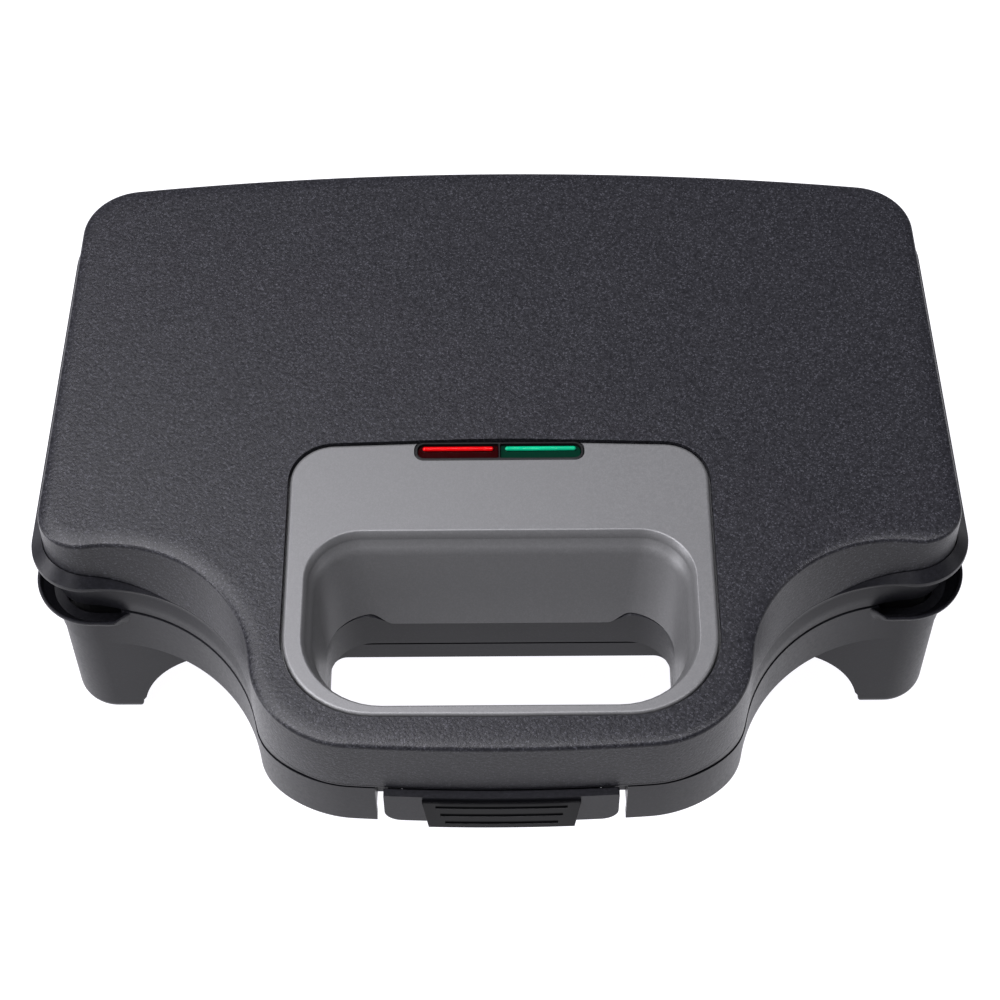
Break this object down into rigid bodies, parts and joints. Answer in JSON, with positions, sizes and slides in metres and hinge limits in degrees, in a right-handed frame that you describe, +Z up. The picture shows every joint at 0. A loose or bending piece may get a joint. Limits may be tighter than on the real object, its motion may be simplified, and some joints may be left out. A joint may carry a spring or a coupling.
{
  "type": "sandwich toaster",
  "caption": "Closed countertop sandwich toaster with a hinged lid, legs, a see-through carry handle and a snap latch",
  "frame": {"origin": "on the table under the middle of the bounding box", "axes": "+X to the right seen from the handle side, across the symmetry plane; -Y towards the handle; +Z up"},
  "size_m": [0.2368, 0.195, 0.08],
  "materials": {
    "cover_plastic": "finely grained charcoal with a pearl sheen",
    "shell_plastic": "satin charcoal",
    "insert_plastic": "metallic grey paint",
    "black_plastic": "satin black",
    "gloss_black": "gloss black",
    "red_lens": "clear red, unlit",
    "green_lens": "clear green, unlit",
    "lamp_glass": "clear bulb",
    "plate_coating": "non-stick coating",
    "heater_steel": "dull",
    "sheet_steel": "aluminised sheet",
    "screw_steel": "zinc plated",
    "pin_steel": "ground",
    "terminal_brass": "plain",
    "ceramic_white": "off-white",
    "wire_sleeve": "silicone sleeve",
    "foot_rubber": "matt"
  },
  "bodies": {
    "base": {"base_housing": "shell_plastic", "base_frame": "black_plastic", "base_screws": "screw_steel", "lower_plate": "plate_coating", "lower_plate_screws": "screw_steel", "lower_heater": "heater_steel", "lower_heater_clips": "sheet_steel", "lower_reflector": "sheet_steel", "thermostat": "terminal_brass", "thermal_fuse": "ceramic_white", "terminal_block": "ceramic_white", "lower_wires": "wire_sleeve", "cord_gland": "foot_rubber", "hinge_pin_left": "pin_steel", "hinge_pin_right": "pin_steel", "foot_pad_front_left": "foot_rubber", "foot_pad_front_right": "foot_rubber", "foot_pad_rear_left": "foot_rubber", "foot_pad_rear_right": "foot_rubber"},
    "lid": {"lid_cover": "cover_plastic", "handle_insert": "insert_plastic", "lens_holder": "black_plastic", "power_lens": "red_lens", "ready_lens": "green_lens", "power_lamp": "lamp_glass", "ready_lamp": "lamp_glass", "lid_frame": "shell_plastic", "lid_screws": "screw_steel", "upper_plate": "plate_coating", "upper_plate_screws": "screw_steel", "upper_heater": "heater_steel", "upper_heater_clips": "sheet_steel", "upper_reflector": "sheet_steel", "upper_wires": "wire_sleeve", "latch_pin": "pin_steel"},
    "latch": {"latch_clip": "shell_plastic", "latch_thumb_pad": "gloss_black"}
  },
  "joints": [
    {"name": "lid_hinge", "type": "hinge", "parent": "base", "child": "lid", "pos_m": [0, 0.0925, 0.052], "axis": [-1, 0, 0], "range_deg": [0, 100]},
    {"name": "latch_pivot", "type": "hinge", "parent": "lid", "child": "latch", "pos_m": [0, -0.0897, 0.0575], "axis": [-1, 0, 0], "range_deg": [-8, 15]}
  ]
}
